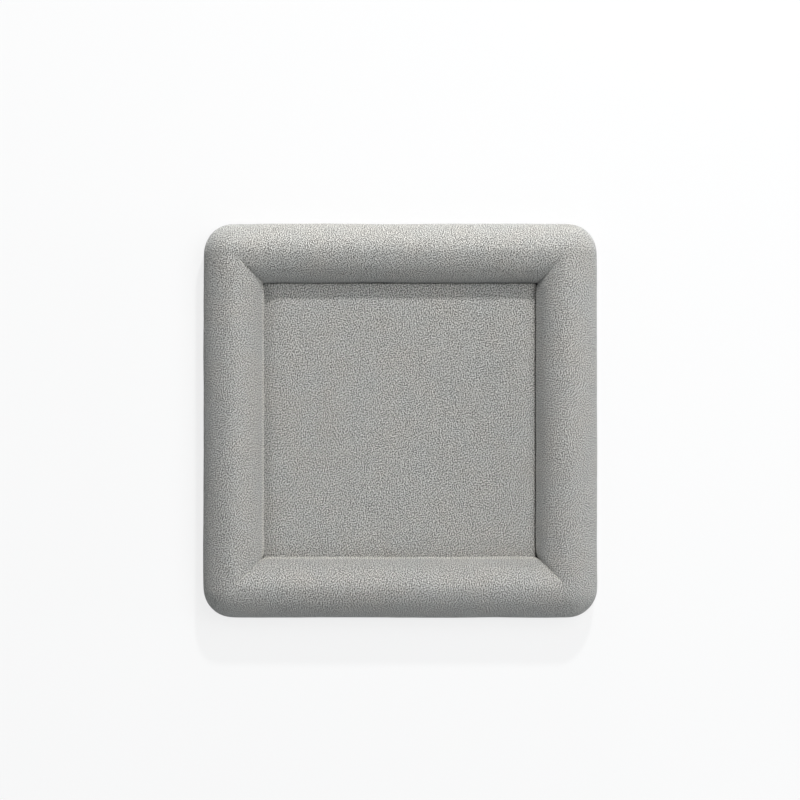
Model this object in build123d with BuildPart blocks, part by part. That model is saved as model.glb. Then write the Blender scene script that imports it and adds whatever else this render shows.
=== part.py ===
from build123d import *

import os

# Square display tray that lies on its felt underside, in millimetres.
# +Z points up out of the recess, and the origin is the middle of the underside.
# Heights are named as levels, and an inset is measured inwards from the outside of the tray.

# Outside of the tray
tray_side = 200.0
tray_height = 28.0
rim_width = 30.0

# Sheets that wrap and close it
cover_thickness = 0.7
padding_thickness = 1.5
lining_thickness = 0.8
lining_inset = 8.0
turn_in_inset = 26.0
inner_flange_width = 8.0
card_gap = 0.5

# Base board in its rabbet
base_board_thickness = 3.0
rabbet_width = 8.0
board_clearance = 0.2

# Loose pad, and the gap that it leaves at each wall of the recess
pad_left_gap = 0.3
pad_right_gap = 0.5
pad_front_gap = 0.3
pad_back_gap = 0.5
pad_board_thickness = 2.0
pad_foam_thickness = 2.4
pad_corner_radius = 2.0
pad_edge_radius = 1.6
pad_turn_in_width = 12.0

# Nails across the mitres
v_nail_arm = 6.0
v_nail_sheet = 0.5
v_nail_height = 8.0

# Brads that hold the board in the rabbet
brad_length = 10.0
brad_diameter = 1.2
brad_head_diameter = 2.4
brad_head_height = 0.6
brad_point = 0.35
brad_spacing = 90.0

# Levels, from the table up
turn_in_level = lining_thickness
rail_level = turn_in_level + cover_thickness
board_top_level = rail_level + base_board_thickness
pad_level = board_top_level + cover_thickness
pad_board_level = pad_level + cover_thickness
pad_foam_level = pad_board_level + pad_board_thickness
pad_skin_level = pad_foam_level + pad_foam_thickness

# The roll of the rim is half round, and its crest runs in a square along the middle of the rim.
half_side = tray_side / 2
roll_radius = rim_width / 2
crest = half_side - roll_radius
spring_level = tray_height - roll_radius

quarter_turn = 90
half_turn = 180
mitre_turn = 45
side_names = ("back", "left", "front", "right")

os.makedirs("parts", exist_ok=True)


def save(piece, name):
    piece.label = name
    export_step(piece, f"parts/{name}.step")


def roll_over(inset):
    # The half circle over the crest, in the section of the back side, from outside to inside.
    CenterArc((crest, spring_level), roll_radius - inset, 0, half_turn)


def bottom_curve(inset):
    # The quarter circle that turns the outer wall in under the rail.
    radius = rail_inset - inset
    CenterArc((half_side - rail_inset, rail_level + padding_thickness), radius, -quarter_turn, quarter_turn)


def straight_run(section):
    # The back side of the rim between the corners of the crest, its inner half cut off at the mitres
    with BuildPart() as run:
        with BuildSketch(Plane.YZ.offset(-crest)):
            add(section)
        extrude(amount=2 * crest)
        for hand in (1, -1):
            split(bisect_by=Plane(origin=(hand * crest, crest, 0), z_dir=(-hand, 1, 0)))
    return run.part


def round_corner(section, hand, turn):
    # The outer half of the section, carried round a back corner of the crest, right for hand 1 and left for -1
    with BuildPart() as corner:
        with BuildSketch(Plane.YZ.offset(hand * crest)):
            add(section)
            split(bisect_by=Plane.YZ.offset(crest))
        revolve(axis=Axis((hand * crest, crest, 0), (0, 0, 1)), revolution_arc=-hand * turn)
    return corner.part


def mitred_side(section):
    # The whole back side, with each round corner as far as the mitre
    with BuildPart() as side:
        add(straight_run(section))
        add(round_corner(section, 1, mitre_turn))
        add(round_corner(section, -1, mitre_turn))
    return side.part


# Sections of the rim, drawn as (distance from the middle, level)
rail_inset = cover_thickness + padding_thickness
rail_outside = half_side - rail_inset
rail_inside = half_side - rim_width + rail_inset
rabbet_outside = rail_inside + rabbet_width

with BuildSketch() as rail_section:
    with BuildLine():
        roll_over(rail_inset)
        Polyline(
            (rail_inside, spring_level),
            (rail_inside, board_top_level),
            (rabbet_outside, board_top_level),
            (rabbet_outside, rail_level),
            (rail_outside, rail_level),
            (rail_outside, spring_level),
        )
    make_face()

padding_outside = half_side - cover_thickness
padding_inside = half_side - rim_width + cover_thickness

with BuildSketch() as padding_section:
    with BuildLine():
        roll_over(cover_thickness)
        Polyline(
            (padding_inside, spring_level),
            (padding_inside, board_top_level),
            (rail_inside, board_top_level),
            (rail_inside, spring_level),
        )
        roll_over(rail_inset)
        Line((rail_outside, spring_level), (rail_outside, rail_level))
        bottom_curve(cover_thickness)
        Line((padding_outside, rail_level + padding_thickness), (padding_outside, spring_level))
    make_face()

wall = half_side - rim_width
turn_in_edge = half_side - turn_in_inset
flange_edge = wall - inner_flange_width

with BuildSketch() as cover_section:
    with BuildLine():
        roll_over(0)
        Polyline(
            (wall, spring_level),
            (wall, pad_level),
            (flange_edge, pad_level),
            (flange_edge, board_top_level),
            (padding_inside, board_top_level),
            (padding_inside, spring_level),
        )
        roll_over(cover_thickness)
        Line((padding_outside, spring_level), (padding_outside, rail_level + padding_thickness))
        bottom_curve(cover_thickness)
        Polyline(
            (rail_outside, rail_level),
            (turn_in_edge, rail_level),
            (turn_in_edge, turn_in_level),
            (rail_outside, turn_in_level),
        )
        bottom_curve(0)
        Line((half_side, rail_level + padding_thickness), (half_side, spring_level))
    make_face()

# Corner nails: a bent strip across each mitre, its point outwards, driven up from below
nail_point = crest + v_nail_arm / 2

with BuildPart() as corner_v_nails:
    with BuildSketch(Plane.XY.offset(rail_level)):
        with PolarLocations(0, len(side_names)):
            with Locations((nail_point, nail_point)):
                Rectangle(v_nail_arm, v_nail_sheet, align=Align.MAX)
                Rectangle(v_nail_sheet, v_nail_arm, align=Align.MAX)
    extrude(amount=v_nail_height)

# Brads: two along each side, up through the board and into the rail
brad_line = rail_inside + rabbet_width / 2

with BuildPart() as base_brads:
    with BuildSketch(Plane.XY.offset(rail_level)):
        with PolarLocations(0, len(side_names)):
            with Locations((-brad_spacing / 2, brad_line), (brad_spacing / 2, brad_line)):
                Circle(brad_head_diameter / 2)
    extrude(amount=brad_head_height)
    with BuildSketch(Plane.XY.offset(rail_level + brad_head_height)):
        with PolarLocations(0, len(side_names)):
            with Locations((-brad_spacing / 2, brad_line), (brad_spacing / 2, brad_line)):
                Circle(brad_diameter / 2)
    extrude(amount=brad_length - brad_head_height)
    chamfer(base_brads.edges().group_by(Axis.Z)[-1], length=brad_point)

# Rails and their padding, made for the back and turned to each side
back_rail = mitred_side(rail_section.sketch)
back_padding = mitred_side(padding_section.sketch)

for turn, name in enumerate(side_names):
    with BuildPart() as rail:
        add(back_rail, rotation=(0, 0, quarter_turn * turn))
        add(corner_v_nails.part, mode=Mode.SUBTRACT)
        add(base_brads.part, mode=Mode.SUBTRACT)
    save(rail.part, f"rail_{name}")

    with BuildPart() as rim_padding:
        add(back_padding, rotation=(0, 0, quarter_turn * turn))
    save(rim_padding.part, f"rim_padding_{name}")

save(corner_v_nails.part, "corner_v_nails")
save(base_brads.part, "base_brads")

# Cover of the rim: one skin with a crease at each mitre
cover_run = straight_run(cover_section.sketch)
cover_corner = round_corner(cover_section.sketch, 1, quarter_turn)

with BuildPart() as rim_cover:
    for turn in range(len(side_names)):
        add(cover_run, rotation=(0, 0, quarter_turn * turn))
    for turn in range(len(side_names)):
        add(cover_corner, rotation=(0, 0, quarter_turn * turn))
save(rim_cover.part, "rim_cover")

# Base board in the rabbet
board_side = 2 * (rabbet_outside - board_clearance)

with BuildPart() as base_board:
    with BuildSketch(Plane.XY.offset(rail_level)):
        Rectangle(board_side, board_side)
    extrude(amount=base_board_thickness)
    add(base_brads.part, mode=Mode.SUBTRACT)
save(base_board.part, "base_board")

# Card that levels the underside between the turned-in edges
card_side = 2 * (turn_in_edge - card_gap)

with BuildPart() as base_filler_card:
    with BuildSketch(Plane.XY.offset(turn_in_level)):
        Rectangle(card_side, card_side)
    extrude(amount=cover_thickness)
save(base_filler_card.part, "base_filler_card")

# Lining that the tray stands on
lining_side = tray_side - 2 * lining_inset

with BuildPart() as base_lining:
    with BuildSketch():
        RectangleRounded(lining_side, lining_side, roll_radius - lining_inset)
    extrude(amount=lining_thickness)
save(base_lining.part, "base_lining")

# Loose pad
pad_width = 2 * wall - pad_left_gap - pad_right_gap
pad_depth = 2 * wall - pad_front_gap - pad_back_gap
pad_core_width = pad_width - 2 * cover_thickness
pad_core_depth = pad_depth - 2 * cover_thickness
pad_core_radius = pad_corner_radius - cover_thickness
pad_window_width = pad_width - 2 * pad_turn_in_width
pad_window_depth = pad_depth - 2 * pad_turn_in_width
pad_middle = ((pad_left_gap - pad_right_gap) / 2, (pad_front_gap - pad_back_gap) / 2)


def pad_plane(level):
    return Plane(origin=(*pad_middle, level))


with BuildPart() as pad_board:
    with BuildSketch(pad_plane(pad_board_level)):
        RectangleRounded(pad_core_width, pad_core_depth, pad_core_radius)
    extrude(amount=pad_board_thickness)
save(pad_board.part, "pad_board")

with BuildPart() as pad_foam:
    with BuildSketch(pad_plane(pad_foam_level)):
        RectangleRounded(pad_core_width, pad_core_depth, pad_core_radius)
    extrude(amount=pad_foam_thickness)
    fillet(pad_foam.edges().group_by(Axis.Z)[-1], pad_edge_radius - cover_thickness)
save(pad_foam.part, "pad_foam")

with BuildPart() as pad_cover:
    with BuildSketch(pad_plane(pad_level)):
        RectangleRounded(pad_width, pad_depth, pad_corner_radius)
    extrude(amount=pad_skin_level + cover_thickness - pad_level)
    fillet(pad_cover.edges().group_by(Axis.Z)[-1], pad_edge_radius)
    add(pad_board.part, mode=Mode.SUBTRACT)
    add(pad_foam.part, mode=Mode.SUBTRACT)
    with BuildSketch(pad_plane(pad_level)):
        Rectangle(pad_window_width, pad_window_depth)
    extrude(amount=cover_thickness, mode=Mode.SUBTRACT)
save(pad_cover.part, "pad_cover")

with BuildPart() as pad_backing:
    with BuildSketch(pad_plane(pad_level)):
        Rectangle(pad_window_width - 2 * card_gap, pad_window_depth - 2 * card_gap)
    extrude(amount=cover_thickness)
save(pad_backing.part, "pad_backing")
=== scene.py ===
import bpy
import bmesh
import math
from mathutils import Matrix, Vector


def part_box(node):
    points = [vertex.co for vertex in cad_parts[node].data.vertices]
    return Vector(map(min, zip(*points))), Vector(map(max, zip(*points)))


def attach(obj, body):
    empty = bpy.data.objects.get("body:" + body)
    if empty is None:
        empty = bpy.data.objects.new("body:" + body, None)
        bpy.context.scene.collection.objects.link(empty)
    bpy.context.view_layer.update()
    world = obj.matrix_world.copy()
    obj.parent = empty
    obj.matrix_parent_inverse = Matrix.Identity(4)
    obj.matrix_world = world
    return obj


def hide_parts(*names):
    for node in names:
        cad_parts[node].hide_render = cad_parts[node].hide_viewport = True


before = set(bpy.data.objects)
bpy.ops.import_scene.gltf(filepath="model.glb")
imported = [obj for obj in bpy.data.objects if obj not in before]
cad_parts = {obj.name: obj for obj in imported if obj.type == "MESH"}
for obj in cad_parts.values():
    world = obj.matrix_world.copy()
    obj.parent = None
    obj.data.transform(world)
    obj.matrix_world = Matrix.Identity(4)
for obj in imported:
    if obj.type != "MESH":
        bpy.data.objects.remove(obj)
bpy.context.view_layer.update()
scene = bpy.context.scene
tiny = 1e-5  # how near a point has to be to count as on a line, in metres
awayFrom = {
    "back": Vector((0, 1, 0)),
    "left": Vector((-1, 0, 0)),
    "front": Vector((0, -1, 0)),
    "right": Vector((1, 0, 0)),
}
print("frame loaded")


# Helpers for work in edit mode

def begin(name, primitive, **facts):
    # Adds one primitive by itself, with its place in its mesh, and opens it in edit mode
    bpy.ops.object.select_all(action="DESELECT")
    primitive(**facts)
    piece = bpy.context.object
    piece.name = piece.data.name = name
    bpy.ops.object.transform_apply(location=True, rotation=True, scale=True)
    bpy.ops.object.mode_set(mode="EDIT")
    bpy.ops.mesh.select_all(action="SELECT")
    return piece


def pick(kind, test):
    # Selects each vertex, edge or face whose middle passes the test
    bpy.ops.mesh.select_mode(type=kind)
    bpy.ops.mesh.select_all(action="DESELECT")
    shape = bmesh.from_edit_mesh(bpy.context.object.data)
    for item in {"VERT": shape.verts, "EDGE": shape.edges, "FACE": shape.faces}[kind]:
        corners = [item] if kind == "VERT" else item.verts
        if test(sum((corner.co for corner in corners), Vector()) / len(corners)):
            item.select_set(True)
    shape.select_flush_mode()
    bmesh.update_edit_mesh(bpy.context.object.data)


def stepIn(run, rise):
    # A new ring inside the selected face, which then moves up or down
    bpy.ops.mesh.inset(thickness=run, depth=0, use_even_offset=True, use_boundary=True)
    bpy.ops.transform.translate(value=(0, 0, rise))


def stepScaled(shrink, rise, centre=(0, 0, 0)):
    # A new ring from the selected loop, drawn towards the centre, which keeps its corners as mitres
    bpy.ops.mesh.extrude_region_move(TRANSFORM_OT_translate={"value": (0, 0, rise)})
    bpy.ops.transform.resize(value=(shrink, shrink, 1), center_override=centre)


def quarterRound(steps, fullness=2):
    # The run and rise of each step round a corner of radius 1 that starts upright: at 2 it is a circle's
    angles = [math.pi / 2 * step / steps for step in range(steps + 1)]
    power = 2 / fullness
    points = [(1 - math.cos(angle) ** power, math.sin(angle) ** power) for angle in angles]
    return [(run - lastRun, rise - lastRise) for (lastRun, lastRise), (run, rise) in zip(points, points[1:])]


def nudge(test, shift, reach, falloff="SMOOTH"):
    # Moves the vertices that pass the test, and draws the skin round them along
    pick("VERT", test)
    bpy.ops.transform.translate(
        value=shift,
        use_proportional_edit=True,
        use_proportional_connected=True,
        proportional_edit_falloff=falloff,
        proportional_size=reach,
    )


def nearEdge(low, high, away, band):
    # A test for the points within a band along one side of a box
    edge = max(away.dot(low), away.dot(high)) - band
    return lambda point: away.dot(point) > edge


def closeUp():
    # Merges what lies double, points the faces outwards and leaves edit mode
    bpy.ops.mesh.select_mode(type="VERT")
    bpy.ops.mesh.select_all(action="SELECT")
    bpy.ops.mesh.remove_doubles(threshold=tiny)
    bpy.ops.mesh.normals_make_consistent(inside=False)
    bpy.ops.object.mode_set(mode="OBJECT")


def modify(piece, kind, **facts):
    # Adds a modifier and applies it
    bpy.context.view_layer.objects.active = piece
    modifier = piece.modifiers.new(kind.lower(), kind)
    for key, value in facts.items():
        setattr(modifier, key, value)
    bpy.ops.object.modifier_apply(modifier=modifier.name)


def copyOf(piece, name):
    twin = piece.copy()
    twin.data = piece.data.copy()
    twin.name = twin.data.name = name
    scene.collection.objects.link(twin)
    bpy.ops.object.select_all(action="DESELECT")
    twin.select_set(True)
    bpy.context.view_layer.objects.active = twin
    return twin


def shadeSmooth(piece, angle):
    bpy.ops.object.select_all(action="DESELECT")
    piece.select_set(True)
    bpy.context.view_layer.objects.active = piece
    bpy.ops.object.shade_smooth_by_angle(angle=math.radians(angle))


# How the microfibre gives as cloth, alike on the rim and the pad

cloth = {
    "quality": 6,
    "tension": 20,
    "shear": 8,
    "bending": 0.4,
    "frames": 20,
}


def swell(piece, facts, hold):
    # Blows the skin up against its held points as cloth, and caps how far each point goes
    start = [vertex.co.copy() for vertex in piece.data.vertices]
    held = piece.vertex_groups.new(name="held")
    for vertex in piece.data.vertices:
        held.add([vertex.index], hold(vertex.co), "REPLACE")
    modifier = piece.modifiers.new("cloth", "CLOTH")
    settings = modifier.settings
    settings.quality = cloth["quality"]
    settings.tension_stiffness = settings.compression_stiffness = cloth["tension"]
    settings.shear_stiffness = cloth["shear"]
    settings.bending_stiffness = cloth["bending"]
    settings.vertex_group_mass = held.name
    settings.use_pressure = True
    settings.uniform_pressure_force = facts["pressure"]
    settings.effector_weights.gravity = 0
    modifier.collision_settings.use_collision = False
    modifier.point_cache.frame_end = cloth["frames"]
    for number in range(1, cloth["frames"] + 1):
        scene.frame_set(number)
    bpy.context.view_layer.objects.active = piece
    bpy.ops.object.modifier_apply(modifier=modifier.name)
    scene.frame_set(1)
    moves = [vertex.co - place for vertex, place in zip(piece.data.vertices, start)]
    print(piece.name, "swells by up to", round(max(move.length for move in moves) * 1000, 2), "mm")
    for vertex, place, move in zip(piece.data.vertices, start, moves):
        if move.length > facts["mostMove"]:
            vertex.co = place + move * (facts["mostMove"] / move.length)


def undulate(piece, facts, share):
    # Slow unevenness of hand-laid cloth and padding, along the normals
    group = piece.vertex_groups.new(name="uneven")
    for vertex in piece.data.vertices:
        group.add([vertex.index], share(vertex.co), "REPLACE")
    for size, height in facts["waves"]:
        clouds = bpy.data.textures.new("clouds", "CLOUDS")
        clouds.noise_scale = size
        modify(
            piece,
            "DISPLACE",
            texture=clouds,
            texture_coords="LOCAL",
            vertex_group=group.name,
            strength=height,
        )


# Sizes of the rim, read from the frame

coverLow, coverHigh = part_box("rim_cover")
paddingLow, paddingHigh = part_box("rim_padding_back")
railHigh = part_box("rail_back")[1]
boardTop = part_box("base_board")[1].z
padLow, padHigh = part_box("pad_cover")
outside = coverHigh.x
skin = coverHigh.z - paddingHigh.z  # thickness of the microfibre
paddingThickness = paddingHigh.z - railHigh.z
wall = paddingLow.y - skin
rollRadius = (outside - wall) / 2
crest = wall + rollRadius
spring = coverHigh.z - rollRadius
footRadius = outside - railHigh.y
footLevel = coverLow.z + footRadius

rim = {
    "cornerSteps": 8,
    "straightSteps": 68,
    "rollSteps": 8,
    "fullness": 1.78,  # of the roll, a little flatter on its slopes than a half circle
    "cornerReach": 0.0012,
    "wallSteps": 4,
    "footSteps": 3,
}


def rolledShell(name, inset, innerFoot):
    # The outside of one layer of the rim: foot, outer wall, roll and inner wall
    outer, radius = outside - inset, rollRadius - inset
    piece = begin(name, bpy.ops.mesh.primitive_plane_add, size=2 * outer, location=(0, 0, footLevel))
    bpy.ops.mesh.bevel(offset=radius, affect="VERTICES", segments=rim["cornerSteps"])
    bpy.ops.mesh.select_all(action="SELECT")
    bpy.ops.mesh.delete(type="ONLY_FACE")
    pick("EDGE", lambda p: min(abs(p.x), abs(p.y)) < tiny)
    bpy.ops.mesh.subdivide(number_cuts=rim["straightSteps"] - 1)
    bpy.ops.mesh.select_all(action="SELECT")
    bpy.ops.mesh.edge_face_add()
    bpy.ops.mesh.select_mode(type="FACE")
    for run, rise in quarterRound(rim["footSteps"]):
        stepIn((footRadius - inset) * run, (inset - footRadius) * rise)
    bpy.ops.mesh.delete(type="ONLY_FACE")

    pick("VERT", lambda p: p.z > footLevel - tiny)
    for step in range(rim["wallSteps"]):
        rise = (spring - footLevel) / rim["wallSteps"]
        bpy.ops.mesh.extrude_region_move(TRANSFORM_OT_translate={"value": (0, 0, rise)})
    bpy.ops.mesh.edge_face_add()
    bpy.ops.mesh.select_mode(type="FACE")
    for run, rise in quarterRound(rim["rollSteps"], rim["fullness"]):
        stepIn(radius * run, radius * rise)
    bpy.ops.mesh.delete(type="ONLY_FACE")

    # The corner arcs have shrunk almost to points at the crest, and each becomes one
    bpy.ops.object.mode_set(mode="OBJECT")
    for vertex in piece.data.vertices:
        x, y, z = vertex.co
        if z > spring + radius - tiny and min(abs(x), abs(y)) > crest - rim["cornerReach"]:
            vertex.co = math.copysign(crest, x), math.copysign(crest, y), z
    bpy.ops.object.mode_set(mode="EDIT")
    pick("VERT", lambda p: p.z > spring + radius - tiny)
    bpy.ops.mesh.remove_doubles(threshold=tiny)
    pick("VERT", lambda p: p.z > spring + radius - tiny)
    place = crest
    for drop, run in quarterRound(rim["rollSteps"], rim["fullness"]):
        stepScaled((place - radius * run) / place, -radius * drop)
        place -= radius * run
    for step in range(rim["wallSteps"]):
        stepScaled(1, (innerFoot - spring) / rim["wallSteps"])
    return piece


# Microfibre of the rim

rimCover = {
    "underside": 0.008,  # how far it runs in under the rails before its last strip
    "undersideSteps": 3,
    "turnIn": 0.074,  # edge of that strip, from the middle
    "flange": 0.062,  # edge of the flange inside the recess, from the middle
    "flangeSteps": 3,
    "slack": 0.0001,  # how much smaller it is before it swells
    "pressure": 1.2,
    "mostMove": 0.0006,
    "waves": ((0.035, 0.0006), (0.012, 0.0002)),  # size and height of each unevenness
    "mitre": 0.0135,  # how far the mitre is tucked in, from the wall outwards
    "mitrePlay": 0.0005,
    "bridge": (0.004, 3),  # width beside the mitre, and rounds of smoothing
    "tucks": ((0.012, 0.0003), (0.009, 0.0003), (0.006, 0.0001)),  # reach from the wall, and depth
    "crease": 1,
    "press": (0, -0.0003, -0.0003),  # along the outside of the back
    "pressReach": 0.0065,
    "pressEnds": 0.004,
    "pressBand": 0.3,
    "lipRing": 0.0008,
    "lipPlay": 0.0015,
    # The fold at the foot of the roll: reach, band that is drawn, and how far each side goes outwards
    "lips": (
        (0.004, 0.0013, {"left": -0.0002, "right": -0.0006, "front": -0.0002, "back": 0.0003}),
        (0.0012, 0.0004, {"left": -0.0008, "right": -0.0007, "front": -0.001}),
    ),
    "levels": 1,
    "sharp": 22,
    "fill": 0.9,
}


def besideMitre(point):
    # How far a point is from the nearer diagonal
    return abs(abs(point.x) - abs(point.y)) / math.sqrt(2)


def reachOf(point):
    # How far a point is from the middle towards the nearer side
    return max(abs(point.x), abs(point.y))


def onAxis(point):
    # The nearest point on the axis of the roll, which runs in a square
    along = [min(max(value, -crest), crest) for value in point.xy]
    across = 0 if abs(point.x) > abs(point.y) else 1
    along[across] = math.copysign(crest, point[across])
    return Vector((*along, spring))


def outerSlope(point):
    # The line half way up the outside of the back roll, short of its corners
    depth = (point - onAxis(point)).normalized()
    alongBack = point.y > crest and abs(point.x) < crest - rimCover["pressEnds"]
    return alongBack and abs(depth.y - depth.z) < rimCover["pressBand"]


def onMitre(point):
    return besideMitre(point) < rimCover["mitrePlay"]


def tuckMitres():
    for reach, tuck in rimCover["tucks"]:
        pick("VERT", lambda p: onMitre(p) and reachOf(p) < wall + reach and p.z > spring + tiny)
        bpy.ops.transform.shrink_fatten(value=-tuck)


def lipTest(away, reach, band):
    # The line where the roll of one side meets its wall, short of the mitres
    def test(point):
        near = abs(point.dot(away) - wall) < rimCover["lipPlay"] and abs(point.z - spring) < band
        return near and abs(point.cross(away).z) < wall - reach

    return test


def rimCoverShell(facts):
    # The whole cover as one skin, from the flange in the recess round to the strip under the rails
    piece = rolledShell("rimCover", 0, padLow.z)
    for step in range(facts["flangeSteps"]):
        part = (wall - facts["flange"]) / facts["flangeSteps"]
        stepScaled((wall - part * (step + 1)) / (wall - part * step), 0)
    pick("VERT", lambda p: p.z < coverLow.z + tiny)
    bpy.ops.mesh.edge_face_add()
    bpy.ops.mesh.select_mode(type="FACE")
    for step in range(facts["undersideSteps"]):
        stepIn(facts["underside"] / facts["undersideSteps"], 0)
    bpy.ops.mesh.delete(type="ONLY_FACE")
    inner = outside - footRadius - facts["underside"]
    pick("VERT", lambda p: p.z < coverLow.z + tiny and reachOf(p) < inner + tiny)
    stepScaled(facts["turnIn"] / inner, 0)
    closeUp()

    # A slightly smaller skin is blown up, so that it ends near its own size
    bpy.ops.object.mode_set(mode="EDIT")
    pick("VERT", lambda p: p.z > spring)
    bpy.ops.transform.shrink_fatten(value=-facts["slack"])
    bpy.ops.object.mode_set(mode="OBJECT")
    return piece


def foldRimCover(facts):
    # The mitre is tucked in beside the recess, and towards the crest the cloth bridges it
    width, rounds = facts["bridge"]
    inner = wall + facts["mitre"]
    bpy.ops.object.mode_set(mode="EDIT")
    pick("VERT", lambda p: besideMitre(p) < width and p.z > spring and inner < reachOf(p) < crest + width)
    bpy.ops.mesh.vertices_smooth(factor=0.5, repeat=rounds)
    tuckMitres()
    pick("EDGE", lambda p: abs(p.z - spring) < facts["lipRing"] and reachOf(p) < wall + facts["lipPlay"])
    bpy.ops.mesh.bevel(offset=facts["lipRing"], segments=2)
    pick("EDGE", lambda p: onMitre(p) and reachOf(p) < inner)
    bpy.ops.transform.edge_crease(value=facts["crease"])
    nudge(outerSlope, facts["press"], facts["pressReach"])
    for reach, band, shifts in facts["lips"]:
        for side, outwards in shifts.items():
            away = awayFrom[side]
            nudge(lipTest(away, reach, band), away * outwards, reach)
    bpy.ops.object.mode_set(mode="OBJECT")


def makeRimCover(facts):
    piece = rimCoverShell(facts)

    def hold(point):
        below = reachOf(point) < wall + tiny and point.z < spring or point.z < (footLevel + spring) / 2
        return 1 if below or besideMitre(point) < tiny * 10 and reachOf(point) < wall + facts["mitre"] else 0

    def share(point):
        # None below, and all of it from a third up the wall
        return min(max((point.z - footLevel) / (spring - footLevel) * 3, 0), 1)

    swell(piece, facts, hold)
    undulate(piece, facts, share)
    foldRimCover(facts)
    modify(piece, "SUBSURF", levels=facts["levels"], render_levels=facts["levels"])
    modify(piece, "SOLIDIFY", thickness=skin, offset=-1, use_even_offset=True)
    shadeSmooth(piece, facts["sharp"])
    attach(piece, "tray_body")
    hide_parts("rim_cover")
    return piece


rimCoverPiece = makeRimCover(rimCover)
print("rim cover made")


# Foam strips below it, one for each side, mitred at the corners

rimPadding = {
    "room": 0.0001,
    "pressDepth": 0.0011,  # how far under the microfibre the foam still counts as its outer face
    "sharp": 40,
    "fill": 0.8,
}


def outerSlopeOfFoam(point):
    # The line that is pressed in, on the outer face of the foam alone
    outerFace = (point - onAxis(point)).length > rollRadius - skin - rimPadding["pressDepth"]
    return outerFace and outerSlope(point)


def makeRimPadding(facts):
    ring = rolledShell("rimPadding", skin + facts["room"], boardTop)
    closeUp()
    bpy.ops.object.mode_set(mode="EDIT")
    tuckMitres()
    bpy.ops.object.mode_set(mode="OBJECT")
    count = len(ring.data.vertices)
    modify(ring, "SOLIDIFY", thickness=paddingThickness - facts["room"], offset=-1, use_even_offset=True)

    # Its inner face lies on the round rails
    for vertex in ring.data.vertices[count:]:
        if vertex.co.z > spring:
            centre = onAxis(vertex.co)
            vertex.co = centre + (vertex.co - centre).normalized() * (rollRadius - skin - paddingThickness)

    # Each strip is a copy of the ring, cut off at the two mitres beside its own side
    strips = []
    for number, side in enumerate(awayFrom):
        strip = copyOf(ring, "rimPadding" + side.capitalize())
        bpy.ops.object.mode_set(mode="EDIT")
        for turn in (225, -45):
            away = math.radians(turn + 90 * number)
            bpy.ops.mesh.select_all(action="SELECT")
            bpy.ops.mesh.bisect(
                plane_co=(0, 0, 0),
                plane_no=(math.cos(away), math.sin(away), 0),
                use_fill=True,
                clear_outer=True,
            )
        if side == "back":
            nudge(outerSlopeOfFoam, rimCover["press"], rimCover["pressReach"])
        closeUp()
        shadeSmooth(strip, facts["sharp"])
        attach(strip, "tray_body")
        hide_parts("rim_padding_" + side)
        strips.append(strip)
    bpy.data.objects.remove(ring)
    return strips


paddingPieces = makeRimPadding(rimPadding)
print("rim padding made")


# Loose pad: its microfibre and the foam in it

padCover = {
    "cells": 60,
    "sideSteps": 2,
    "cornerRadius": 0.0012,
    "cornerSteps": 4,
    "edgeRadius": 0.0005,
    "edgeSteps": 3,
    "turnIn": (0.003, 0.004, 0.005),  # widths of the rings under the board
    "crown": 0.0004,  # how much lower the face starts, before it swells
    "pressure": 0.25,
    "mostMove": 0.0008,
    "waves": ((0.04, 0.0003), (0.011, 0.00006)),
    "sideBand": 0.001,
    # How far each side moves towards its wall, and how the cloth is turned after that, in degrees
    "closer": {"back": 0.0004, "left": 0.00005, "front": 0.00005, "right": -0.0003},
    "skew": 0.15,
    "levels": 1,
    "sharp": 40,
    "fill": 0.7,
}
padFoam = {
    "room": 0.0002,
    "cells": 40,
    "sideSteps": 1,
    "cornerRadius": 0.0013,
    "cornerSteps": 3,
    "edgeRadius": 0.0009,
    "edgeSteps": 3,
    "sharp": 40,
    "fill": 0.8,
}
softEdges = {
    "band": 0.0012,
    "slopes": {"left": (0.0017, 0.0085), "right": (0.0006, 0.006)},  # drop and reach
}


def softenEdges(low, high):
    # The left and right edges of the pad slope down softly, over a flat underside
    band = softEdges["band"]
    for side, (drop, reach) in softEdges["slopes"].items():
        atSide = nearEdge(low, high, awayFrom[side], band)
        nudge(lambda p: atSide(p) and p.z > high.z - band, (0, 0, -drop), reach, "SHARP")
    pick("VERT", lambda p: p.z < low.z + tiny)
    bpy.ops.transform.resize(value=(1, 1, 0), center_override=(0, 0, low.z))


def softSlab(name, low, high, facts):
    # A slab, open below: a grid for its face, its sides drawn down, its corners and edge rounded
    middle, half = (low + high) / 2, (high - low) / 2
    piece = begin(
        name,
        bpy.ops.mesh.primitive_grid_add,
        x_subdivisions=facts["cells"],
        y_subdivisions=facts["cells"],
        size=2 * half.x,
        location=(middle.x, middle.y, high.z),
    )
    bpy.ops.transform.resize(value=(1, half.y / half.x, 1), center_override=middle)

    def insets(point):
        # How far a point is inside the nearer and the farther pair of sides
        return sorted((half.x - abs(point.x - middle.x), half.y - abs(point.y - middle.y)))

    pick("VERT", lambda p: insets(p)[0] < tiny)
    for step in range(facts["sideSteps"]):
        stepScaled(1, (low.z - high.z) / facts["sideSteps"])
    pick("EDGE", lambda p: insets(p)[1] < tiny)
    bpy.ops.mesh.bevel(offset=facts["cornerRadius"], segments=facts["cornerSteps"])
    inCorner = facts["cornerRadius"] - tiny
    pick("EDGE", lambda p: p.z > high.z - tiny and (insets(p)[0] < tiny or insets(p)[1] < inCorner))
    bpy.ops.mesh.bevel(offset=facts["edgeRadius"], segments=facts["edgeSteps"])
    pick("VERT", lambda p: p.z < low.z + tiny)
    return piece


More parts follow.
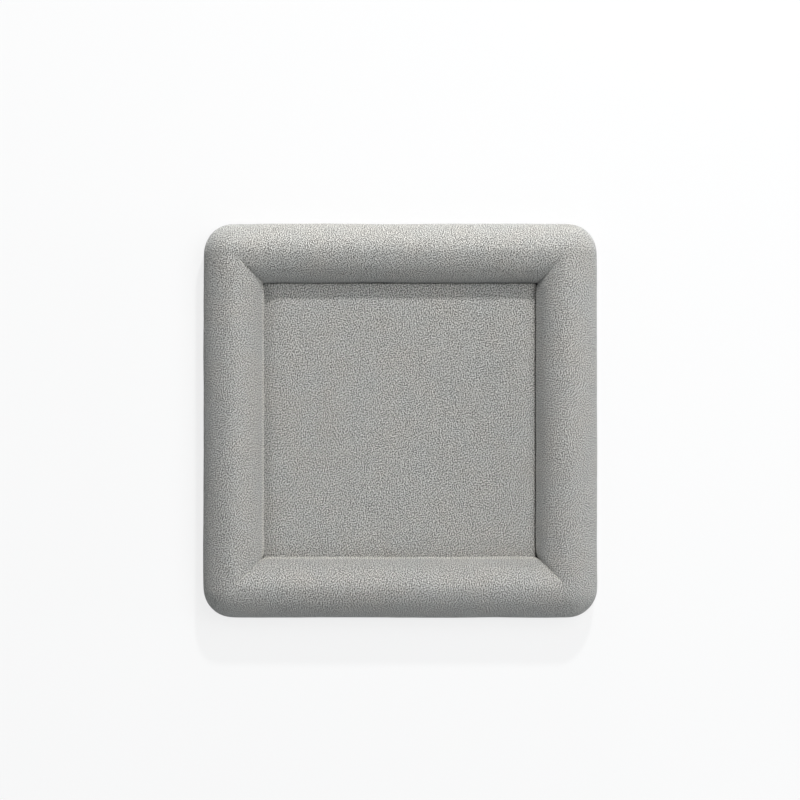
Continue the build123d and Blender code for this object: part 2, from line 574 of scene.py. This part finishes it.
def fitPadCover(facts):
    # The left and front sides press against their walls, and the right side was cut a little out of square
    bpy.ops.object.mode_set(mode="EDIT")
    softenEdges(padLow, padHigh)
    for side, shift in facts["closer"].items():
        away = awayFrom[side]
        pick("VERT", nearEdge(padLow, padHigh, away, facts["sideBand"]))
        bpy.ops.transform.translate(value=away * shift)
    bpy.ops.transform.rotate(
        value=math.radians(facts["skew"]),
        orient_axis="Z",
        center_override=(padHigh.x, (padLow.y + padHigh.y) / 2, 0),
    )
    bpy.ops.object.mode_set(mode="OBJECT")


def makePadCover(facts):
    middle = (padLow + padHigh) / 2
    half = (padHigh.x - padLow.x) / 2
    piece = softSlab("padCover", padLow, padHigh - Vector((0, 0, facts["crown"])), facts)
    for run in facts["turnIn"]:
        stepScaled((half - run) / half, 0, centre=middle)
        half -= run
    closeUp()

    def hold(point):
        return 1 if point.z < padHigh.z - facts["edgeRadius"] - facts["crown"] - tiny else 0

    swell(piece, facts, hold)
    undulate(piece, facts, lambda p: 1 if p.z > padHigh.z - facts["edgeRadius"] else 0)
    fitPadCover(facts)
    modify(piece, "SUBSURF", levels=facts["levels"], render_levels=facts["levels"])
    modify(piece, "SOLIDIFY", thickness=skin, offset=-1, use_even_offset=True)
    shadeSmooth(piece, facts["sharp"])
    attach(piece, "lift_out_pad")
    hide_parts("pad_cover")
    return piece


def makePadFoam(facts):
    low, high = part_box("pad_foam")
    room = Vector((facts["room"], facts["room"], 0))
    piece = softSlab("padFoam", low + room, high - room - Vector((0, 0, padCover["crown"])), facts)
    bpy.ops.mesh.edge_face_add()
    softenEdges(low, high)
    closeUp()
    shadeSmooth(piece, facts["sharp"])
    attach(piece, "lift_out_pad")
    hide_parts("pad_foam")
    return piece


padCoverPiece = makePadCover(padCover)
padFoamPiece = makePadFoam(padFoam)
print("pad made")


# Felt that the tray stands on

baseLining = {"cornerRadius": 0.007, "cornerSteps": 8, "edge": 0.0002, "edgeSteps": 2, "sharp": 40}


def makeBaseLining(facts):
    low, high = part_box("base_lining")
    side = high.x - low.x
    piece = begin("baseLining", bpy.ops.mesh.primitive_plane_add, size=side, location=(0, 0, low.z))
    bpy.ops.mesh.bevel(offset=facts["cornerRadius"], affect="VERTICES", segments=facts["cornerSteps"])
    bpy.ops.mesh.select_all(action="SELECT")
    stepScaled(1, high.z - low.z)
    pick("EDGE", lambda p: p.z < low.z + tiny or p.z > high.z - tiny)
    bpy.ops.mesh.bevel(offset=facts["edge"], segments=facts["edgeSteps"])
    closeUp()
    shadeSmooth(piece, facts["sharp"])
    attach(piece, "tray_body")
    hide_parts("base_lining")
    return piece


baseLiningPiece = makeBaseLining(baseLining)
print("lining made")


# Shader maths

class Value:
    # One socket of a material, so that sums are written as plain expressions
    def __init__(self, recipe, socket):
        self.recipe, self.socket = recipe, socket

    def math(self, operation, first, second):
        return self.recipe.add("ShaderNodeMath", {"operation": operation}, {0: first, 1: second})

    def __add__(self, other):
        return self.math("ADD", self, other)

    def __sub__(self, other):
        return self.math("SUBTRACT", self, other)

    def __rsub__(self, other):
        return self.math("SUBTRACT", other, self)

    def __mul__(self, other):
        return self.math("MULTIPLY", self, other)

    def __abs__(self):
        return self.math("ABSOLUTE", self, 0)

    def most(self, other):
        return self.math("MAXIMUM", self, other)

    def least(self, other):
        return self.math("MINIMUM", self, other)

    __radd__ = __add__
    __rmul__ = __mul__


class Recipe:
    # One node tree that is filled step by step
    def __init__(self, tree):
        self.tree = tree

    def add(self, kind, settings, inputs, output=0):
        node = self.tree.nodes.new(kind)
        for key, value in settings.items():
            setattr(node, key, value)
        self.fill(node, inputs)
        return Value(self, node.outputs[output])

    def fill(self, node, inputs):
        for key, value in inputs.items():
            if isinstance(value, Value):
                self.tree.links.new(value.socket, node.inputs[key])
            elif hasattr(value, "__len__") and len(value) == 3 and node.inputs[key].type == "RGBA":
                node.inputs[key].default_value = (*value, 1)
            else:
                node.inputs[key].default_value = value

    def close(self, kind, surface):
        # The output node that ends a tree
        self.fill(self.tree.nodes.new(kind), {"Surface": surface})

    def here(self):
        return self.add("ShaderNodeTexCoord", {}, {}, "Object")

    def place(self, turn=(0, 0, 0), stretch=(1, 1, 1)):
        turned = tuple(math.radians(angle) for angle in turn)
        facts = {"Vector": self.here(), "Rotation": turned, "Scale": stretch}
        return self.add("ShaderNodeMapping", {}, facts)

    def speckle(self, where, size, detail=2, roughness=0.5, distortion=0):
        # Noise from 0 to 1 whose grains are about size metres
        facts = {"Vector": where, "Scale": 1 / size, "Detail": detail, "Roughness": roughness}
        return self.add("ShaderNodeTexNoise", {}, {**facts, "Distortion": distortion})

    def spread(self, value, low, high, first=0, last=1):
        facts = {"Value": value, "From Min": low, "From Max": high, "To Min": first, "To Max": last}
        return self.add("ShaderNodeMapRange", {"clamp": True}, facts)

    def blend(self, share, first, second, mode="MIX"):
        settings = {"data_type": "RGBA", "blend_type": mode}
        return self.add("ShaderNodeMix", settings, {0: share, 6: first, 7: second}, 2)

    def vector(self, operation, *parts):
        return self.add("ShaderNodeVectorMath", {"operation": operation}, dict(enumerate(parts)))

    def bump(self, height, distance):
        return self.add("ShaderNodeBump", {}, {"Height": height, "Distance": distance, "Strength": 1})


def linear(*values):
    # A colour as read off a screen, from 0 to 255, as the shader wants it
    return tuple(((value / 255 + 0.055) / 1.055) ** 2.4 for value in values)


def makeMaterial(name, build, **fixed):
    # A material whose fixed numbers stand on the shader's own sockets
    material = bpy.data.materials.new(name)
    material.use_nodes = True
    recipe = Recipe(material.node_tree)
    shader = material.node_tree.nodes["Principled BSDF"]
    for key, value in fixed.items():
        recipe.fill(shader, {key.replace("_", " "): value})
    recipe.fill(shader, build(recipe))
    return material


# The microfibre: a random tone in each grain, patches where the nap lies otherwise, and a painted highlight
# along the lit folds

microfibre = {
    "dark": linear(77, 76.5, 74.3),
    "light": linear(218, 217, 212.5),
    "grain": 0.00047,
    "apart": 0.00051,  # how far off the neighbours of a grain are looked at
    "lean": (0.3, 0.5, 0.81),  # a direction that settles which way on the cloth is along
    "contrast": (0.25, 0.75),
    "height": 0.0003,
    "nap": 0.018,
    "napTurn": (35, 50, 20),
    "napRange": (0.35, 0.65),
    "cool": (0.995, 1, 1),
    "warm": (1.02, 1, 0.98),
    "roughness": (0.86, 0.96),
    "fold": (1.26, 1.25, 1.22),  # how much lighter the painted highlight on the lit folds makes the cloth
    "sideBlur": 0.001,
    "lipBand": (0.0004, 0.0008),
    "lipFoot": (0.0008, 0.0004),  # how far below the roll it starts, and is full
    "mitreBand": (0.0002, 0.0006),
    "mitreFade": (0.009, 0.013),  # where it ends, from the wall outwards
    "mitreShare": 0.7,
}
microfibreSheen = {
    "Sheen_Weight": 0.3,
    "Sheen_Roughness": 0.45,
    "Sheen_Tint": (0.9, 0.92, 0.95),
    "Specular_IOR_Level": 0.15,
}


def paintedFoldHighlight(recipe, facts):
    # 1 along the lip at the left and front and up the mitres beside them, where the walls face the lamps: the
    # mask of a painted highlight
    here = recipe.here()
    x, y, z = (recipe.add("ShaderNodeSeparateXYZ", {}, {"Vector": here}, axis) for axis in "XYZ")
    wide, deep = abs(x), abs(y)
    reach = wide.most(deep)
    # Only the left and front lips, which face the lamps, get the painted highlight
    leftOrFront = recipe.spread((0 - x).most(0 - y) - reach, -facts["sideBlur"], 0)
    full, gone = facts["lipBand"]
    lip = recipe.spread(abs(reach - (wall - full)), full, gone, 1, 0)
    fromMitre = (reach - wide.least(deep)) * math.sqrt(0.5)
    mitre = recipe.spread(fromMitre, *facts["mitreBand"], facts["mitreShare"], 0)
    near, far = facts["mitreFade"]
    mitre = mitre * recipe.spread(reach, wall + near, wall + far, 1, 0)
    below, above = facts["lipFoot"]
    return lip.most(mitre) * leftOrFront * recipe.spread(z, spring - below, spring - above)


def microfibreLook(recipe, facts=microfibre):
    here = recipe.here()
    facing = recipe.add("ShaderNodeAttribute", {"attribute_name": "facing"}, {}, "Vector")
    along = recipe.vector("NORMALIZE", recipe.vector("CROSS_PRODUCT", facing, facts["lean"]))
    across = recipe.vector("CROSS_PRODUCT", facing, along)

    def grains(step, direction):
        moved = recipe.vector("MULTIPLY_ADD", direction, (step, step, step), here)
        return recipe.add("ShaderNodeTexVoronoi", {}, {"Vector": moved, "Scale": 1 / facts["grain"]}, "Color")

    # Each tone counts against the mean of four neighbours on the cloth, so that no patches stand out
    apart = facts["apart"]
    nearBy = grains(apart, along) + grains(-apart, along) + grains(apart, across) + grains(-apart, across)
    tufts = grains(0, along) - nearBy * 0.25 + 0.5
    nap = recipe.speckle(recipe.place(facts["napTurn"]), facts["nap"], detail=3, roughness=0.6)
    nap = recipe.spread(nap, *facts["napRange"])
    colour = recipe.blend(recipe.spread(tufts, *facts["contrast"]), facts["dark"], facts["light"])
    tint = recipe.blend(nap, facts["cool"], facts["warm"])
    # A painted highlight: the lips and mitres that face the lamps are made lighter in colour
    foldHighlightTint = recipe.blend(paintedFoldHighlight(recipe, facts), (1, 1, 1), facts["fold"])
    tint = recipe.blend(1, tint, foldHighlightTint, "MULTIPLY")
    return {
        "Base Color": recipe.blend(1, colour, tint, "MULTIPLY"),
        "Roughness": recipe.spread(nap, 0, 1, *facts["roughness"]),
        "Normal": recipe.bump(tufts, facts["height"]),
    }


# Finishes of what lies inside and below

def twoTone(recipe, facts, pattern):
    # Colour, roughness and relief that all follow one pattern
    return {
        "Base Color": recipe.blend(recipe.spread(pattern, *facts["contrast"]), facts["dark"], facts["light"]),
        "Roughness": recipe.spread(pattern, *facts["range"], *facts["roughness"]),
        "Normal": recipe.bump(pattern, facts["height"]),
    }


felt = {
    "dark": linear(52, 52, 54),
    "light": linear(86, 86, 88),
    "fibre": 0.0008,
    "contrast": (0.35, 0.65),
    "range": (0.3, 0.7),
    "roughness": (0.85, 1),
    "height": 0.0002,
}


def feltLook(recipe):
    wool = recipe.speckle(recipe.place(), felt["fibre"], detail=4, roughness=0.7, distortion=1.5)
    return twoTone(recipe, felt, wool)


foam = {
    "dark": linear(214, 208, 190),
    "light": linear(238, 234, 220),
    "cells": 1600,  # to a metre
    "contrast": (0.1, 0.8),
    "range": (0, 1),
    "roughness": (0.8, 0.95),
    "height": 0.0003,
}


def foamLook(recipe):
    facts = {"Vector": recipe.place(), "Scale": foam["cells"], "Smoothness": 0.4}
    cells = recipe.add("ShaderNodeTexVoronoi", {"feature": "SMOOTH_F1"}, facts)
    return twoTone(recipe, foam, cells)


steel = {
    "dark": linear(150, 150, 152),
    "light": linear(186, 186, 188),
    "line": 0.0002,
    "stretch": (1, 1, 0.08),  # drawn along the nails
    "contrast": (0.3, 0.7),
    "range": (0.3, 0.7),
    "roughness": (0.28, 0.45),
    "height": 0.00002,
}


def steelLook(recipe):
    drawn = recipe.speckle(recipe.place(stretch=steel["stretch"]), steel["line"], detail=2)
    return twoTone(recipe, steel, drawn)


wood = {
    "dark": linear(176, 140, 98),
    "light": linear(212, 184, 142),
    "rings": 9,
    "ringStretch": (0.6, 10, 10),
    "contrast": (0.35, 0.65),
    "pore": linear(140, 104, 68),
    "poreSize": 0.0006,
    "poreStretch": (0.05, 1, 1),
    "poreRange": (0.55, 0.75),
    "poreShare": 0.35,
    "range": (0.3, 0.7),
    "roughness": (0.55, 0.75),
    "height": 0.0001,
}


def woodLook(turn, facts=wood):
    # The grain runs along X, or along Y when turned by 90
    def look(recipe):
        where = recipe.place((0, 0, turn), facts["ringStretch"])
        growth = {"Vector": where, "Scale": facts["rings"], "Detail": 4, "Distortion": 0.6}
        rings = recipe.spread(recipe.add("ShaderNodeTexNoise", {}, growth), *facts["contrast"])
        pores = recipe.speckle(recipe.place((0, 0, turn), facts["poreStretch"]), facts["poreSize"])
        inPores = recipe.spread(pores, *facts["poreRange"], 0, facts["poreShare"])
        colour = recipe.blend(rings, facts["dark"], facts["light"])
        return {
            "Base Color": recipe.blend(inPores, colour, facts["pore"]),
            "Roughness": recipe.spread(pores, *facts["range"], *facts["roughness"]),
            "Normal": recipe.bump(rings + pores, facts["height"]),
        }

    return look


pressed = {"chipShare": 0.6, "contrast": (0.35, 0.65), "range": (0.3, 0.7), "roughness": (0.75, 0.92)}
boards = {
    "fibreboard": {
        "dark": linear(118, 86, 58),
        "light": linear(164, 128, 92),
        "chip": 0.0012,
        "height": 0.00008,
        "shine": 0.3,
    },
    "greyboard": {
        "dark": linear(116, 113, 106),
        "light": linear(140, 137, 129),
        "chip": 0.0008,
        "height": 0.00005,
        "shine": 0.2,
    },
    "backingPaper": {
        "dark": linear(44, 44, 46),
        "light": linear(60, 60, 63),
        "chip": 0.0005,
        "height": 0.00002,
        "shine": 0.25,
    },
}


def boardLook(facts):
    # Pressed board or paper: chips and fibres lying every way
    def look(recipe):
        where = recipe.place()
        chips = recipe.speckle(where, facts["chip"], detail=4, roughness=0.65, distortion=1)
        fleck = recipe.speckle(where, facts["chip"] / 4, detail=2)
        mixed = chips * pressed["chipShare"] + fleck * (1 - pressed["chipShare"])
        share = recipe.spread(mixed, *pressed["contrast"])
        return {
            "Base Color": recipe.blend(share, facts["dark"], facts["light"]),
            "Roughness": recipe.spread(chips, *pressed["range"], *pressed["roughness"]),
            "Normal": recipe.bump(chips + fleck, facts["height"]),
        }

    return look


coverMaterial = makeMaterial("microfibre", microfibreLook, **microfibreSheen)
feltMaterial = makeMaterial("liningFelt", feltLook, Sheen_Weight=0.2, Specular_IOR_Level=0.15)
foamMaterial = makeMaterial("foam", foamLook, Specular_IOR_Level=0.2)
alongMaterial = makeMaterial("railWoodAlong", woodLook(0), Specular_IOR_Level=0.35)
acrossMaterial = makeMaterial("railWoodAcross", woodLook(90), Specular_IOR_Level=0.35)
steelMaterial = makeMaterial("nailSteel", steelLook, Metallic=1)
boardMaterials = {
    name: makeMaterial(name, boardLook(facts), Specular_IOR_Level=facts["shine"])
    for name, facts in boards.items()
}


def keepFacing(piece):
    # The grain of the cloth follows its surface, so each point keeps the way it faces as an attribute
    facing = piece.data.attributes.new("facing", "FLOAT_VECTOR", "POINT")
    for vertex, item in zip(piece.data.vertices, facing.data):
        item.vector = vertex.normal


def dress(piece, material):
    piece.data.materials.clear()
    piece.data.materials.append(material)


for piece in (rimCoverPiece, padCoverPiece):
    keepFacing(piece)
    dress(piece, coverMaterial)
for piece in (*paddingPieces, padFoamPiece):
    dress(piece, foamMaterial)
dress(baseLiningPiece, feltMaterial)
for node, material in {
    "rail_back": alongMaterial,
    "rail_front": alongMaterial,
    "rail_left": acrossMaterial,
    "rail_right": acrossMaterial,
    "base_board": boardMaterials["fibreboard"],
    "base_filler_card": boardMaterials["greyboard"],
    "pad_board": boardMaterials["greyboard"],
    "pad_backing": boardMaterials["backingPaper"],
    "corner_v_nails": steelMaterial,
    "base_brads": steelMaterial,
}.items():
    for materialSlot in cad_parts[node].material_slots:
        materialSlot.material = material
print("materials made")


# Floor, world, lamps and camera

floor = {"size": 6, "colour": (0.8, 0.8, 0.8), "glow": 0.8}
worldLight = {"colour": (0.94, 1, 1.04), "strength": 0.1}
lampDistance = 1.4

# Azimuth from +X towards +Y and elevation in degrees, side in metres
lamps = {
    "key": {"azimuth": 78, "elevation": 40.5, "side": 0.08, "watts": 11.2, "colour": (1, 1, 1)},
    "backLow": {"azimuth": 90, "elevation": 1, "side": 0.1, "watts": 13.6, "colour": (1, 1, 0.98)},
    "backMid": {"azimuth": 90, "elevation": 8, "side": 0.2, "watts": 2.8, "colour": (1, 1, 0.98)},
    "rightHigh": {"azimuth": 30, "elevation": 65, "side": 0.8, "watts": 8.7, "colour": (0.99, 1, 1.01)},
    "rightLow": {"azimuth": 0, "elevation": 16, "side": 0.4, "watts": 3, "colour": (1, 1, 1)},
    "leftMid": {"azimuth": 150, "elevation": 40, "side": 0.8, "watts": 1.5, "colour": (0.97, 1, 1.03)},
    "frontRight": {"azimuth": 300, "elevation": 40, "side": 0.6, "watts": 2.3, "colour": (0.93, 1, 1.06)},
    "frontLeft": {"azimuth": 240, "elevation": 40, "side": 0.6, "watts": 0.8, "colour": (0.93, 1, 1.06)},
}
camera = {
    "lens": 132.9,
    "sensor": 36,
    "distance": 1.5,
    "aim": (-0.00015, 0.0104, 0.013),
    "tilt": 0.75,  # degrees, towards the front
}


def seenDirectly(recipe):
    # 1 for what the camera sees itself, in a mirror or through glass
    straight = recipe.add("ShaderNodeLightPath", {}, {}, "Is Camera Ray")
    mirrored = recipe.add("ShaderNodeLightPath", {}, {}, "Is Glossy Ray")
    through = recipe.add("ShaderNodeLightPath", {}, {}, "Is Transmission Ray")
    return (straight + mirrored + through).least(1)


def makeFloor(facts):
    piece = begin("floor", bpy.ops.mesh.primitive_plane_add, size=facts["size"])
    bpy.ops.object.mode_set(mode="OBJECT")
    material = bpy.data.materials.new("floor")
    material.use_nodes = True
    material.node_tree.nodes.clear()
    recipe = Recipe(material.node_tree)
    matt = recipe.add("ShaderNodeBsdfDiffuse", {}, {"Color": facts["colour"]})
    glow = recipe.add("ShaderNodeEmission", {}, {"Color": (1, 1, 1)})
    share = seenDirectly(recipe) * facts["glow"]
    mixed = recipe.add("ShaderNodeMixShader", {}, {0: share, 1: matt, 2: glow})
    recipe.close("ShaderNodeOutputMaterial", mixed)
    dress(piece, material)


def makeWorld(facts):
    world = bpy.data.worlds.new("studio")
    world.use_nodes = True
    world.node_tree.nodes.clear()
    recipe = Recipe(world.node_tree)
    dim = {"Color": facts["colour"], "Strength": facts["strength"]}
    around = recipe.add("ShaderNodeBackground", {}, dim)
    white = recipe.add("ShaderNodeBackground", {}, {"Color": (1, 1, 1), "Strength": 1})
    mixed = recipe.add("ShaderNodeMixShader", {}, {0: seenDirectly(recipe), 1: around, 2: white})
    recipe.close("ShaderNodeOutputWorld", mixed)
    scene.world = world


def addLamp(name, facts):
    lamp = bpy.data.lights.new(name, "AREA")
    lamp.shape, lamp.size = "SQUARE", facts["side"]
    lamp.energy, lamp.color = facts["watts"], facts["colour"]
    turn, rise = math.radians(facts["azimuth"]), math.radians(facts["elevation"])
    towards = Vector((math.cos(turn) * math.cos(rise), math.sin(turn) * math.cos(rise), math.sin(rise)))
    holder = bpy.data.objects.new(name, lamp)
    holder.location = towards * lampDistance
    holder.rotation_euler = towards.to_track_quat("Z", "Y").to_euler()
    scene.collection.objects.link(holder)


def addCamera(facts):
    eye = bpy.data.cameras.new("camera")
    eye.lens, eye.sensor_width = facts["lens"], facts["sensor"]
    holder = bpy.data.objects.new("camera", eye)
    tilt = math.radians(facts["tilt"])
    towards = Vector((0, -math.sin(tilt), math.cos(tilt)))
    holder.location = Vector(facts["aim"]) + facts["distance"] * towards
    holder.rotation_euler = (tilt, 0, 0)
    scene.collection.objects.link(holder)
    scene.camera = holder


makeFloor(floor)
makeWorld(worldLight)
for name, facts in lamps.items():
    addLamp(name, facts)
addCamera(camera)
scene.view_settings.view_transform = "Standard"
print("scene made")
